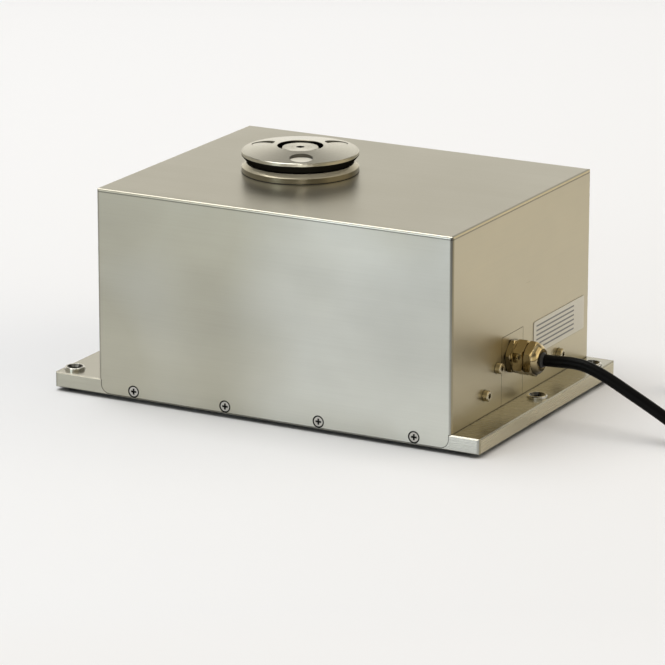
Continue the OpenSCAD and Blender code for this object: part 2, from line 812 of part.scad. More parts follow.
carrier_screw_d = 5;
function carrier_spots() = [
  for (y = [-1, 1]) each [
    [pivot_x + 3, load_y + y * 12],
    [coil_x - 14, load_y + y * 21.5]
  ]
];
cheek_left = pivot_x - 4;
cheek_right = fixed_neck_x + 2 + pad_l + 1;
bar_low = pivot_z + 2;
bar_h = 6;
bar_w = 8;

// The carrier is one milled frame: slab, two cheeks, fulcrum bar, bridge and guide feet
module system_carrier() {
  half = cheek_in + cheek_t;
  fork_top = lever_low - 6;
  color("grey") difference() {
    union() {
      translate([0, load_y, 0]) block([cheek_left, -half, deck], [slab_end, half, slab_top]);
      for (side = [-1, 1])
        along_cheek(side) difference() {
          polygon([
            [cheek_left, slab_top - 1], [cheek_right, slab_top - 1],
            [cheek_right, high_seat - seat_gap], [fixed_neck_x - 1, high_seat - seat_gap],
            [cheek_left + bar_w + 8, bar_low + bar_h], [cheek_left, bar_low + bar_h]
          ]);
          translate([(cheek_left + cheek_right) / 2 - 2, slab_top + 28]) circle(15);
        }
      translate([0, load_y, 0]) {
        block([pivot_x + strip_t / 2, -cheek_in - 1, bar_low],
          [pivot_x + bar_w, cheek_in + 1, bar_low + bar_h]);
        block([fixed_neck_x + 2, -cheek_in - 1, high_seat - 8],
          [fixed_neck_x + 2 + pad_l, cheek_in + 1, high_seat - seat_gap]);
        for (side = [-1, 1])
          block([fixed_neck_x + 2, side * 14 - 5, slab_top - 1],
            [fixed_neck_x + 2 + pad_l, side * 14 + 5, low_seat - seat_gap]);
        block([sensor_x, -4, slab_top - 1], [sensor_x + sensor_w, 4, fork_top]);
      }
    }
    for (z = [low_seat, high_seat], y = guide_fixed_ys)
      translate([guide_fixed_screw_x, y, z - 5]) cylinder(d = screw_d + 0.1, h = 6);
    for (spot = carrier_spots())
      translate([spot.x, spot.y, deck - 1]) cylinder(d = carrier_screw_d + 0.5, h = slab_t + 2);
  }
}

module along_cheek(side) {
  mid = load_y + side * (cheek_in + cheek_t / 2);
  along_y(mid - cheek_t / 2, mid + cheek_t / 2) children();
}

module carrier_screws() {
  color("silver") for (spot = carrier_spots())
    translate([spot.x, spot.y, slab_top]) cap_screw(8.5, 5, carrier_screw_d, slab_t + 5, 4);
}

// The pot, the magnet and the pole piece share the coil's axis
module on_coil(z) {
  translate([coil_x, load_y, z]) children();
}

pot_floor = 6;

module magnet_pot() {
  color("dimgrey") on_coil(slab_top) difference() {
    cylinder(d = pot_d, h = pot_h);
    translate([0, 0, pot_floor]) cylinder(d = pot_bore, h = pot_h);
  }
}

magnet_h = 22;

module magnet() {
  color("silver") on_coil(slab_top + pot_floor) cylinder(d = pole_d - 3, h = magnet_h);
}

module pole_piece() {
  color("dimgrey") on_coil(slab_top + pot_floor + magnet_h)
    cylinder(d = pole_d, h = pot_h - pot_floor - magnet_h);
}

winding_h = 10;
winding_t = 2.4;
winding_r = (pole_d + pot_bore) / 4 - winding_t / 2;
former_skirt = 0.8;

module coil_former() {
  skirt_low = slab_top + pot_h - winding_h;
  color("ivory") on_coil(0) difference() {
    union() {
      translate([0, 0, skirt_low]) cylinder(r = winding_r, h = lever_low - skirt_low);
      translate([0, 0, lever_low - 2]) cylinder(r = winding_r + winding_t, h = 2);
    }
    translate([0, 0, skirt_low - 1])
      cylinder(r = winding_r - former_skirt, h = lever_low - skirt_low - 2);
  }
}

module moving_coil() {
  color("peru") on_coil(slab_top + pot_h - winding_h) difference() {
    cylinder(r = winding_r + winding_t, h = winding_h);
    translate([0, 0, -1]) cylinder(r = winding_r, h = winding_h + 2);
  }
}

// The lever hangs on its two flexing strips, with lugs beside the beam
module lever() {
  left = strip_x + strip_t / 2 + play - 0.15;
  lug_x = pivot_x + strip_t / 2 + 0.35;
  color("lightgrey") difference() {
    union() {
      along_y(load_y - lever_w / 2, load_y + lever_w / 2) polygon([
        [left, lever_low], [vane_x, lever_low], [vane_x, lever_low + lever_h - 3],
        [pivot_x + 20, lever_low + lever_h], [left, lever_low + lever_h]
      ]);
      translate([0, load_y, 0])
        block([lug_x, -12, lever_low], [lug_x + 7, 12, lever_low + lever_h]);
    }
    for (x = [pivot_x + 18:12:coil_x - 13.5])
      translate([x, load_y, lever_low - 1]) cylinder(d = 7, h = lever_h + 2);
  }
}

module lever_flexures() {
  strip_low = lever_low + 3;
  color("goldenrod") for (side = [-1, 1])
    translate([pivot_x, load_y + side * 9.5, 0])
      block([-strip_t / 2, -2.5, strip_low], [strip_t / 2, 2.5, bar_low + bar_h]);
}

// The fork looks through the slot in the vane at the lever's end
module position_sensor() {
  fork_low = lever_low - 6;
  color("black") translate([sensor_x, load_y, fork_low]) difference() {
    translate([0, -7, 0]) cube([sensor_w, 14, 18]);
    translate([-1, -1.5, 4]) cube([sensor_w + 2, 3, 20]);
    for (side = [-1, 1])
      translate([sensor_w / 2, side * 4.5, 10]) rotate([90, 0, 0])
        cylinder(d = 2, h = 8, center = true);
  }
}

module sensor_vane() {
  color("black") difference() {
    translate([0, load_y, 0])
      block([vane_x, -0.5, lever_low], [sensor_x + sensor_w - 0.5, 0.5, lever_low + lever_h - 3]);
    translate([sensor_x + sensor_w / 2, load_y, lever_low + 2.4]) cube([1, 4, 0.6], center = true);
  }
}

stop_d = 5;
stop_ys = [load_y - 5, load_y + 5];

// Two screws under the hanger take the blow of an overload
module overload_stops() {
  head_top = low_seat - ledge_t - travel_down - 0.1;
  head_h = 3.5;
  color("silver") for (y = stop_ys)
    translate([load_x, y, 0]) {
      translate([0, 0, head_top - head_h]) cylinder(d = 9.2, h = head_h, $fn = 6);
      translate([0, 0, deck - 6]) cylinder(d = stop_d, h = head_top - head_h - deck + 6 + eps);
    }
}

module calibration_weight() {
  color("silver") translate([weight_x, load_y, weight_h]) rotate([90, 0, 0]) difference() {
    union() {
      cylinder(d = weight_d, h = weight_l, center = true);
      cylinder(d = weight_pin_d, h = weight_l + 2 * (fork_t + 3), center = true);
    }
    for (side = [-1, 1])
      translate([0, 0, side * groove_at]) difference() {
        cylinder(d = weight_d + 2, h = groove_w, center = true);
        cylinder(d = weight_groove_d, h = groove_w + 2, center = true);
      }
  }
}

module weight_lifter() {
  fork_top = weight_h + 1;
  half_w = 7;
  outer = fork_in + fork_t;
  color("lightgrey") translate([weight_x, load_y, 0]) difference() {
    union() {
      block([-half_w, -outer, beam_low], [half_w, outer, beam_low + beam_h]);
      for (side = [-1, 1])
        translate([0, side * (fork_in + fork_t / 2), 0])
          block([-half_w, -fork_t / 2, beam_low], [half_w, fork_t / 2, fork_top]);
    }
    translate([0, 0, weight_h]) rotate([90, 0, 0])
      cylinder(d = weight_pin_d + 0.2, h = 200, center = true);
    translate([0, 0, beam_low - 1]) cylinder(d = spindle_d + 2 * run_gap, h = beam_h + 2);
    for (side = [-1, 1])
      translate([0, side * guide_pin_at, beam_low - 1])
        cylinder(d = guide_pin_d + 2 * run_gap, h = beam_h + 2);
  }
}

module lifter_spindle() {
  spindle_top = beam_low + beam_h + 3;
  color("silver") translate([weight_x, load_y, 0]) {
    translate([0, 0, spindle_low]) cylinder(d = spindle_d, h = spindle_top - spindle_low);
    translate([0, 0, spindle_low]) cylinder(d = spindle_d + 2, h = 1);
  }
}

module lifter_guide_pins() {
  pin_top = weight_h - weight_d / 2 - lift - 1;
  color("silver") for (side = [-1, 1])
    translate([weight_x, load_y + side * guide_pin_at, deck - 5])
      cylinder(d = guide_pin_d, h = pin_top - deck + 5);
}

module calibration_motor() {
  color("dimgrey") translate([weight_x, load_y, deck]) {
    cylinder(d = motor_d, h = motor_h);
    translate([-motor_d / 2 - 10, -7, 0]) cube([motor_d / 2 + 10, 14, motor_h - 2]);
  }
}

board_foot_l = 16;
board_foot_at = 40;
board_foot_xs = [board_x - board_foot_at, board_x + board_foot_at];
board_foot_y = board_y + board_t + 12;
standoff_l = 5;
board_hole_xs = [board_x - board_l / 2 + 5, board_x + board_l / 2 - 5];
board_hole_zs = [board_z + 5, board_z + board_h - 5];

module board_bracket() {
  plate_y = board_y - standoff_l - 1.5;
  color("silver") difference() {
    union() {
      block([board_x - board_l / 2, plate_y, deck], [board_x + board_l / 2, plate_y + 1.5,
        board_z + board_h]);
      for (x = board_foot_xs)
        block([x - 5, plate_y, deck], [x + 5, board_foot_y + 5, deck + 1.5]);
    }
    for (x = board_foot_xs)
      translate([x, board_foot_y, deck - 1]) cylinder(d = screw_d + 0.3, h = 4);
    block([board_x - board_l / 2 + 14, plate_y - 1, board_z + 10],
      [board_x + board_l / 2 - 14, plate_y + 3, board_z + board_h - 10]);
  }
}

module board_standoffs() {
  color("gold") for (x = board_hole_xs, z = board_hole_zs)
    translate([x, board_y - standoff_l, z]) rotate([-90, 0, 0])
      cylinder(d = 5.5 / cos(30), h = standoff_l, $fn = 6);
}

module circuit_board() {
  color("darkgreen") difference() {
    block([board_x - board_l / 2, board_y, board_z],
      [board_x + board_l / 2, board_y + board_t, board_z + board_h]);
    for (x = board_hole_xs, z = board_hole_zs)
      translate([x, board_y - 1, z]) rotate([-90, 0, 0]) cylinder(d = 3.2, h = 4);
  }
}

// Chips stand on the board's inner face: place along X and Z, then width, height, depth
chips = [[-34, 38, 14, 14, 2], [-10, 40, 20, 20, 2.5], [18, 42, 10, 10, 2], [-30, 14, 24, 10, 6],
  [2, 14, 8, 18, 2], [36, 44, 12, 16, 9]];

module board_chips() {
  color("black") for (c = chips)
    translate([board_x + c[0] - c[2] / 2, board_y + board_t, board_z + c[1] - c[3] / 2])
      cube([c[2], c[4], c[3]]);
}

header_x = board_x + board_foot_at;
header_d = 8;

module board_header() {
  color("ivory") block([header_x - 9, board_y + board_t, board_z + 4],
    [header_x + 9, board_y + board_t + header_d, board_z + 14]);
}

// The stripped lead runs from the gland to the header in straight legs with round elbows
lead_r = 2.2;
lead_in = 8.5;
lead_x = wall_right - bracket_t - lead_in;
lead_y = board_y + 20;
lead_route = [
  [lead_x + lead_in - 4, gland_y, gland_h], [lead_x, gland_y, gland_h],
  [lead_x, lead_y, gland_h], [header_x, lead_y, gland_h],
  [header_x, board_y + board_t + header_d, gland_h]
];

module inner_lead() {
  color("dimgrey") {
    for (i = [0:len(lead_route) - 2]) rod(lead_route[i], lead_route[i + 1], lead_r);
    for (i = [1:len(lead_route) - 2]) translate(lead_route[i]) sphere(lead_r);
  }
}

// A round rod between two points
module rod(a, b, r) {
  v = b - a;
  flat = norm([v.x, v.y]);
  translate(a) rotate([0, atan2(flat, v.z), atan2(v.y, v.x)]) cylinder(r = r, h = norm(v));
}

// A tube of ten sides swept along points that lie in a plane of constant Y
tube_sides = 10;
function run_dir(run, i) =
  let (a = run[max(i - 1, 0)], b = run[min(i + 1, len(run) - 1)], v = b - a) v / norm(v);
function ring_at(run, i, y, r) =
  let (d = run_dir(run, i), n = [-d.y, d.x])
  [for (k = [0:tube_sides - 1])
    let (a = 360 * k / tube_sides)
    [run[i].x + n.x * r * sin(a), y + r * cos(a), run[i].y + n.y * r * sin(a)]];

module swept_tube(run, y, r) {
  last = len(run) - 1;
  n = tube_sides;
  points = [for (i = [0:last]) each ring_at(run, i, y, r)];
  sides = [for (i = [0:last - 1], k = [0:n - 1])
    [i * n + k, i * n + (k + 1) % n, (i + 1) * n + (k + 1) % n, (i + 1) * n + k]];
  caps = [[for (k = [n - 1:-1:0]) k], [for (k = [0:n - 1]) last * n + k]];
  polyhedron(points, concat(sides, caps), convexity = 6);
}

tube_r = cable_d / 2 / cos(180 / tube_sides) * 0.985;

module cable() {
  color("black") swept_tube(cable_run, cable_y, tube_r);
}

module cable_tail() {
  color("black") swept_tube(tail_run, plug_y, tube_r);
}

// Outer shape of the wound cable, with its tail to the connector
module cable_coil() {
  color("black") difference() {
    translate([coil_at.x, coil_at.y, 0]) rotate_extrude() {
      translate([coil_in + 3, 0]) square([coil_out - coil_in - 6, coil_h]);
      translate([coil_in, 3]) square([coil_out - coil_in, coil_h - 6]);
      for (r = [coil_in + 3, coil_out - 3], z = [3, coil_h - 3]) translate([r, z]) circle(3);
    }
    tie_space();
    end_space([cable_y - 4, cable_y + cable_d / 2 + 0.4], [-1, cable_d + 0.4]);
    end_space([plug_y - cable_d / 2 - 0.4, plug_y + 4], [coil_h - cable_d - 2.6, coil_h + 1]);
  }
}

// Channel in the coil for a cable end that meets it at the coil's middle
module end_space(y, z) {
  block([coil_at.x - coil_out, y[0], z[0]], [coil_at.x, y[1], z[1]]);
}

tie_w = 4;
tie_t = 0.8;

module tie_space() {
  translate([coil_at.x, coil_at.y, 0])
    block([coil_in - 2, -tie_w / 2 - 0.1, -1], [coil_out + 2, tie_w / 2 + 0.1, tie_t + 0.1]);
}

module coil_tie() {
  color("white") translate([coil_at.x, coil_at.y, 0]) difference() {
    block([coil_in - tie_t - 0.1, -tie_w / 2, 0],
      [coil_out + tie_t + 0.1, tie_w / 2, coil_h + tie_t + 0.1]);
    block([coil_in - 0.1, -tie_w, tie_t], [coil_out + 0.1, tie_w, coil_h + 0.1]);
  }
}

// Puts a piece on the connector's axis, pointing away from the cable
module on_plug(x) {
  translate([x, plug_y, plug_z]) rotate([0, -90, 0]) children();
}

insert_r = 4;
neck_r = 5.2;
plug_body_l = 25;
neck_l = 13;

module connector_body() {
  color("dimgrey") on_plug(plug_x) difference() {
    rotate_extrude() polygon([
      [0, 0], [cable_d / 2 + 1, 0], [plug_r - 0.8, 8], [plug_r, 9], [plug_r, plug_body_l],
      [neck_r, plug_body_l], [neck_r, plug_body_l + neck_l], [0, plug_body_l + neck_l]
    ]);
    translate([0, 0, plug_body_l]) cylinder(r = insert_r, h = neck_l + 1);
  }
}

nut_gap = 0.3;
nut_l = 16;

module connector_nut() {
  grip_r = plug_r - 0.35;
  color("silver") on_plug(plug_x - plug_body_l - nut_gap) difference() {
    rotate_extrude() polygon([
      [neck_r + run_gap, 0], [grip_r - 0.4, 0], [grip_r, 0.4], [grip_r, nut_l - 0.4],
      [grip_r - 0.4, nut_l], [neck_r + run_gap, nut_l]
    ]);
    for (turn = [0:15:345])
      rotate([0, 0, turn]) translate([grip_r + 0.35, 0, 2.5]) cylinder(r = 0.6, h = nut_l - 5);
  }
}

module connector_insert() {
  color("black") on_plug(plug_x - plug_body_l) difference() {
    cylinder(r = insert_r - 0.05, h = neck_l - 1.5);
    for (turn = [0:72:288])
      rotate([0, 0, turn]) translate([2.4, 0, 4]) cylinder(r = 0.55, h = neck_l);
  }
}

module connector_pins() {
  color("gold") on_plug(plug_x - plug_body_l - 4) for (turn = [0:72:288])
    rotate([0, 0, turn]) translate([2.4, 0, 0]) cylinder(r = 0.5, h = neck_l - 4);
}

base_plate();
mounting_bushes();
hood();
hood_blocks();
hood_front_screws();
hood_back_screws();
hood_side_screws();
label_plate();
gland_bracket();
bracket_side_screws();
bracket_foot_screws();
gland_locknut();
gland_body();
gland_dome_nut();
gland_seal();
collar_gasket();
collar_ring();
collar_nut();
load_plate();
load_screw();
load_hanger();
upper_guide();
lower_guide();
guide_carrier_screws();
guide_hanger_screws();
coupling_strip();
system_carrier();
carrier_screws();
magnet_pot();
magnet();
pole_piece();
coil_former();
moving_coil();
lever();
lever_flexures();
position_sensor();
sensor_vane();
overload_stops();
calibration_weight();
weight_lifter();
lifter_spindle();
lifter_guide_pins();
calibration_motor();
circuit_board();
board_bracket();
board_standoffs();
board_chips();
board_header();
inner_lead();
cable();
cable_coil();
cable_tail();
coil_tie();
connector_body();
connector_nut();
connector_insert();
connector_pins();
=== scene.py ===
"""Looks of the precision weighing cell, dressed on its CAD nodes. Metres, +Z up."""
import json
import math

import bpy
from mathutils import Matrix, Vector


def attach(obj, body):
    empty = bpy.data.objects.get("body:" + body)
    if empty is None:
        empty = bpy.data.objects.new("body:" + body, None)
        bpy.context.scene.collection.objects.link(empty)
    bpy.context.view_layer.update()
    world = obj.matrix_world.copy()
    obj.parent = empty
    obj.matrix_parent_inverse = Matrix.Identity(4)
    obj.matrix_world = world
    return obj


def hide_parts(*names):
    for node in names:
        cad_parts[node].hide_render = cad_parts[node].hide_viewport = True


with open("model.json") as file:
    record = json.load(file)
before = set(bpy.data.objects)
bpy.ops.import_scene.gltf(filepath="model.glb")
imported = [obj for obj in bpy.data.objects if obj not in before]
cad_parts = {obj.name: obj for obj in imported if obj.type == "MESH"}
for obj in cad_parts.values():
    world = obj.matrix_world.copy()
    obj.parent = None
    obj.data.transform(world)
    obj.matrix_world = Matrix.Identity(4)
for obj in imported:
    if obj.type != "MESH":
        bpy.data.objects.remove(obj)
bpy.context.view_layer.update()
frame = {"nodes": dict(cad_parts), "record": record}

MM = 0.001

# Sizes and places that follow part.scad, in millimetres
HOOD_TOP, RING_SIDE, GROOVE_LOW, RIM_LOW, POCKET_FLOOR = 109.9, 112.85, 114.85, 119.15, 120.7
LOAD_X, LOAD_Y = -22.5, 3.0
GLAND_Y = -11.2
CABLE_D = 6.0
CABLE_RUN = [
    (119.1, 33.4), (128, 33.6), (135, 34), (140, 34.1), (145, 33.7), (150, 32.4),
    (156, 30.2), (162, 27.5), (168, 24.5), (174, 21.5), (180, 18.5), (186, 15.4),
    (192, 12.2), (198, 9.1), (204, 6.3), (210, 4.3), (216, 3.3), (222, 3.03), (229, 3.03)]
COIL_X, COIL_Y, COIL_R = 236.0, 31.8, 43.0
COIL_INNER_R, LAYER_TURNS, STEP_TURNS = 23.5, 3, 0.5
# The lower layer lies a hair above the floor, so the tube stays inside the CAD box
LOWER_Z, UPPER_Z = 3.03, 9.0
TAIL_RUN = [(231, 9), (226, 8.8), (221, 8.3), (216, 7.7), (211, 7.3), (206, 7.25), (202, 7.25)]
PLUG_Y = 74.8
APRON_X, APRON_PITCH, APRON_Z = -74.45, 53.3, 6.0
APRON_HEAD_Y, HEAD_R, SINK_R = 77.8, 2.45, 3.2
BUSH_X, LEFT_BUSH_Y, RIGHT_BUSH_MID, RIGHT_BUSH_HALF, BUSH_MOUTH = 114.7, 69.0, 32.0, 32.0, 8.3
LABEL_LOW, LABEL_HIGH = (12.6, 27.0), (71.6, 44.5)

# The label's ruled lines: their pitch in millimetres, and the dark share of it
RULE_PITCH, RULE_SHARE = 2.4, 0.36

# Colours, and painted light and shade on the brushed sheet, by the way its faces look, as factors
# on its colour
FRONT_PAINTED_WARM, FRONT_PAINTED_COOL = (0.80, 0.81, 0.76), (1.02, 1.08, 1.14)
LEFT_PAINTED_LIGHT, SIDE_PAINTED_LIGHT, TOP_PAINTED_BLUE = (0.95, 0.97, 1.02), (1.10, 1.02, 0.81), 0.96
POCKET_PAINTED_PALE = (0.66, 0.635, 0.55, 1)
FLOOR_PALE, FLOOR_DIM = (0.845, 0.85, 0.865), (0.20, 0.19, 0.175)

# A face counts as looking along an axis when that part of its normal is larger than this
STEEP = 0.7

# The way in which the photo looks over the floor, in X and Y
PHOTO_AHEAD = (-0.48, 0.88)


def link(obj):
    bpy.context.scene.collection.objects.link(obj)
    return obj


# Camera: matched to the photo's plate and hood edges

def make_camera():
    """The photo's camera: place, direction and lens from the match of the edges."""
    place = (1.013297, -1.876574, 0.643452)
    azimuth, elevation, roll = (math.radians(v) for v in (28.4169, 16.1024, 0.0833))
    focal_px, picture_px, sensor = 4330.15, 665, 36.0
    back = Vector((math.sin(azimuth) * math.cos(elevation),
                   -math.cos(azimuth) * math.cos(elevation), math.sin(elevation)))
    right = Vector((math.cos(azimuth), math.sin(azimuth), 0))
    up = back.cross(right)
    side = right * math.cos(roll) + up * math.sin(roll)
    top = up * math.cos(roll) - right * math.sin(roll)
    data = bpy.data.cameras.new("camera")
    data.sensor_width = sensor
    data.lens = sensor * focal_px / picture_px
    data.clip_start, data.clip_end = 0.05, 60
    cam = link(bpy.data.objects.new("camera", data))
    cam.matrix_world = Matrix.Translation(place) @ Matrix((side, top, back)).transposed().to_4x4()
    bpy.context.scene.camera = cam


# The cable, from the gland through its coil to the connector

def catmull(points, steps):
    """Points on a smooth line through the given ones."""
    padded = [points[0] * 2 - points[1], *points, points[-1] * 2 - points[-2]]
    out = []
    for a, b, c, d in zip(padded, padded[1:], padded[2:], padded[3:]):
        for i in range(steps):
            t = i / steps
            out.append(0.5 * (2 * b + (c - a) * t + (2 * a - 5 * b + 4 * c - d) * t * t
                              + (3 * b - a - 3 * c + d) * t ** 3))
    return out + [points[-1]]


def ease(t):
    return t * t * (3 - 2 * t)


def coil_points(per_turn=36):
    """The lower layer winds inwards, steps up, and the upper layer winds outwards."""
    pitch = 6.05
    step_r = COIL_R - pitch * LAYER_TURNS
    turns = 2 * LAYER_TURNS + STEP_TURNS
    out = []
    for i in range(int(turns * per_turn) + 1):
        t = i / per_turn
        if t <= LAYER_TURNS:
            r, z = COIL_R - pitch * t, LOWER_Z
        elif t <= LAYER_TURNS + STEP_TURNS:
            s = (t - LAYER_TURNS) / STEP_TURNS
            r = step_r + (COIL_INNER_R - step_r) * s
            z = LOWER_Z + (UPPER_Z - LOWER_Z) * ease(s)
        else:
            s = (t - LAYER_TURNS - STEP_TURNS) / LAYER_TURNS
            r, z = COIL_INNER_R + (COIL_R - COIL_INNER_R) * s, UPPER_Z
        a = math.radians(360 * t - 90)
        out.append(Vector((COIL_X + r * math.cos(a), COIL_Y + r * math.sin(a), z)))
    return out


def tube_mesh(name, points, radius, sides=16):
    """A closed tube swept along points, its rings carried on without twist."""
    mesh = bpy.data.meshes.new(name)
    verts, faces = [], []
    normal = Vector((0, 1, 0))
    for i, p in enumerate(points):
        ahead = points[min(i + 1, len(points) - 1)] - points[max(i - 1, 0)]
        along = ahead.normalized()
        normal = (normal - along * normal.dot(along)).normalized()
        other = along.cross(normal)
        for k in range(sides):
            a = 2 * math.pi * k / sides
            verts.append(p + (normal * math.cos(a) + other * math.sin(a)) * radius)
    for i in range(len(points) - 1):
        for k in range(sides):
            j = (k + 1) % sides
            faces.append((i * sides + k, i * sides + j, (i + 1) * sides + j,
                          (i + 1) * sides + k))
    last = (len(points) - 1) * sides
    faces.append(tuple(reversed(range(sides))))
    faces.append(tuple(last + k for k in range(sides)))
    mesh.from_pydata(verts, [], faces)
    mesh.shade_smooth()
    return mesh


def make_cable():
    """One tube for the whole cable, on the housing body, in place of the hidden CAD cable parts.
    """
    run = catmull([Vector((x, GLAND_Y, z)) for x, z in CABLE_RUN], 3)
    tail = catmull([Vector((x, PLUG_Y, z)) for x, z in TAIL_RUN], 3)
    points = [p * MM for p in run + coil_points() + tail]
    cable = link(bpy.data.objects.new("cable_cord",
                                      tube_mesh("cable_cord", points, CABLE_D / 2 * MM)))
    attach(cable, "housing")
    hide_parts("cable", "cable_coil", "cable_tail")
    return cable


# Materials: small helpers that make and join shader nodes

class Shader:
    """A material with its node tree and short calls to fill it."""

    def __init__(self, name, color, metallic, rough, coat=0.0):
        self.mat = bpy.data.materials.new(name)
        self.mat.use_nodes = True
        self.tree = self.mat.node_tree
        self.bsdf = self.tree.nodes["Principled BSDF"]
        self.color = (*color, 1)
        self.set("Base Color", self.color)
        self.set("Metallic", metallic)
        self.set("Roughness", rough)
        self.set("Coat Weight", coat)
        self.place = self.add("ShaderNodeTexCoord").outputs["Object"]

    def set(self, socket, value):
        self.join(self.bsdf.inputs[socket], value)

    def join(self, socket, value):
        if isinstance(value, bpy.types.NodeSocket):
            self.tree.links.new(value, socket)
        else:
            socket.default_value = value

    def add(self, kind, inputs=None, **props):
        made = self.tree.nodes.new(kind)
        for key, value in props.items():
            setattr(made, key, value)
        for key, value in (inputs or {}).items():
            self.join(made.inputs[key], value)
        return made

    def math(self, operation, a, b=0.0):
        return self.add("ShaderNodeMath", {0: a, 1: b}, operation=operation).outputs[0]

    def scaled(self, scale, vector=None):
        node = self.add("ShaderNodeMapping", {"Vector": vector or self.place, "Scale": scale})
        return node.outputs["Vector"]

    def noise(self, scale, detail=3.0, rough=0.6, vector=None):
        node = self.add("ShaderNodeTexNoise", {
            "Vector": self.scaled(scale, vector), "Scale": 1.0, "Detail": detail,
            "Roughness": rough})
        return node.outputs["Fac"]

    def product(self, first, *others):
        for value in others:
            first = self.math("MULTIPLY", first, value)
        return first

    def above(self, value, limit):
        return self.math("GREATER_THAN", value, limit)

    def below(self, value, limit):
        return self.math("LESS_THAN", value, limit)

    def less(self, mask, amount):
        """One, less the amount where the mask is one."""
        return self.math("SUBTRACT", 1.0, self.product(mask, amount))

    def length(self, x, y):
        return self.math("SQRT", self.math("ADD", self.product(x, x), self.product(y, y)))

    def remap(self, value, low, high, start=0.0, end=1.0):
        """Goes from start to end while the value goes from low to high."""
        node = self.add("ShaderNodeMapRange", {
            "Value": value, "From Min": low, "From Max": high, "To Min": start, "To Max": end})
        return node.outputs["Result"]

    def spread(self, value, low, high):
        """Maps the middle of a 0 to 1 value to the range from low to high."""
        return self.remap(value, 0.3, 0.7, low, high)

    def mix(self, factor, a, b, blend_type="MIX"):
        node = self.add("ShaderNodeMix", {0: factor, 6: a, 7: b}, data_type="RGBA",
                        blend_type=blend_type)
        return node.outputs[2]

    def tint(self, factor, color):
        """Multiplies a colour by a grey factor."""
        base = color[:3] if isinstance(color, tuple) else color
        node = self.add("ShaderNodeVectorMath", {0: base}, operation="SCALE")
        self.join(node.inputs["Scale"], factor)
        return node.outputs[0]

    def base_source(self):
        """What the Base Color is joined to."""
        return self.bsdf.inputs["Base Color"].links[0].from_socket

    def bump(self, height, strength, distance):
        node = self.add("ShaderNodeBump", {
            "Height": height, "Strength": strength, "Distance": distance})
        self.set("Normal", node.outputs["Normal"])


def parts(s):
    """The place's and the face normal's X, Y and Z."""
    place = s.add("ShaderNodeSeparateXYZ", {0: s.place}).outputs
    normal = s.add("ShaderNodeNewGeometry").outputs["Normal"]
    return place, s.add("ShaderNodeSeparateXYZ", {0: normal}).outputs


def within(s, value, low, high):
    """One where the value lies between two sizes in millimetres."""
    return s.product(s.above(value, low * MM), s.below(value, high * MM))


def brushed(name, color, rough=0.33, along=14.0, across=1500.0, cloud=0.05, shade=0.02,
            top=0.92):
    """Sheet steel brushed along the walls and along X on faces that look up.

    The front has painted light from warm to cool along X and a painted reflection that makes it
    lighter near the floor, the other sides and the top have painted light of their own, and the
    bends have no grain.
    """
    s = Shader(name, color, 1.0, rough)
    place, normal = parts(s)
    x, y, z = (s.math("ABSOLUTE", normal[i]) for i in range(3))
    up, side, left = s.above(z, STEEP), s.above(x, STEEP), s.below(normal[0], -STEEP)
    flat = s.above(s.math("MAXIMUM", z, s.math("MAXIMUM", x, y)), 0.97)
    walls = s.noise((along, along, across), 2.0)
    tops = s.noise((along, across, along), 2.0)
    streaks = s.add("ShaderNodeMix", {0: up, 2: walls, 3: tops}, data_type="FLOAT").outputs[0]
    grain = s.math("ADD", 0.5, s.product(flat, s.math("SUBTRACT", streaks, 0.5)))
    clouds = s.noise((14, 14, 22), 3.0, 0.55)

    # Painted light: warm to cool along the front, its own painted tone for the left faces, the
    # right faces and the top, the top also dimmed by the top factor
    warm, cool, left_painted, side_painted, top_painted = (
        tuple(c * f for c, f in zip(color, tone)) + (1,)
        for tone in (FRONT_PAINTED_WARM, FRONT_PAINTED_COOL, LEFT_PAINTED_LIGHT, SIDE_PAINTED_LIGHT, (top, top, top * TOP_PAINTED_BLUE)))
    reach = s.math("ADD", s.product(place[0], 2.6), s.noise((12, 12, 12), 1.0, 0.4))
    front = s.mix(s.spread(reach, 0.0, 1.0), warm, cool)
    # Painted reflection: the front lighter near the floor
    front = s.tint(s.remap(place[2], 0.01, 0.045, 1.20, 1.0), front)
    walls_painted = s.mix(left, s.mix(side, front, side_painted), left_painted)
    sheet = s.mix(up, walls_painted, top_painted)

    # Painted shade: a dark line just below the top edge
    painted_bend_shade = within(s, place[2], HOOD_TOP - 1.9, HOOD_TOP - 1.2)
    factor = s.product(
        s.spread(grain, 1 - shade, 1 + shade), s.spread(clouds, 1 - cloud, 1 + cloud),
        gap_shade(s), edge_shade(s, x, y, z), ring_shade(s, place), s.less(painted_bend_shade, 0.5))
    s.set("Base Color", s.tint(factor, sheet))
    s.set("Roughness", s.math("ADD", s.spread(grain, rough - 0.03, rough + 0.03),
                              s.spread(clouds, -0.03, 0.03)))
    s.bump(grain, 0.06, 0.00004)
    return s


def apron_distance(s, place):
    """Distance from the nearest screw axis along the front and back edges."""
    start, pitch = (APRON_X - APRON_PITCH / 2) * MM, APRON_PITCH * MM
    turns = s.math("DIVIDE", s.math("SUBTRACT", place[0], start), pitch)
    x = s.product(s.math("SUBTRACT", s.math("FRACT", turns), 0.5), pitch)
    return s.length(x, s.math("SUBTRACT", place[2], APRON_Z * MM))


def ring_shade(s, place):
    """Painted shade in the gap round the countersunk heads."""
    return s.less(within(s, apron_distance(s, place), HEAD_R, SINK_R), 0.95)


def edge_shade(s, x, y, z):
    """Painted shade and highlight: upright bends a little darker than the sheet, bends below the
    top brighter.
    """
    upright = s.product(s.product(x, y), 0.9)
    upper = s.product(s.product(z, s.math("MAXIMUM", x, y)), 0.45)
    return s.math("ADD", s.math("SUBTRACT", 1.0, upright), upper)


def gap_shade(s, reach=0.9, shut=0.45, free=0.85):
    """Painted shade that darkens narrow gaps and corners."""
    open_air = s.add("ShaderNodeAmbientOcclusion", {"Distance": reach * MM}, samples=5)
    return s.remap(open_air.outputs["AO"], shut, free, 0.04)


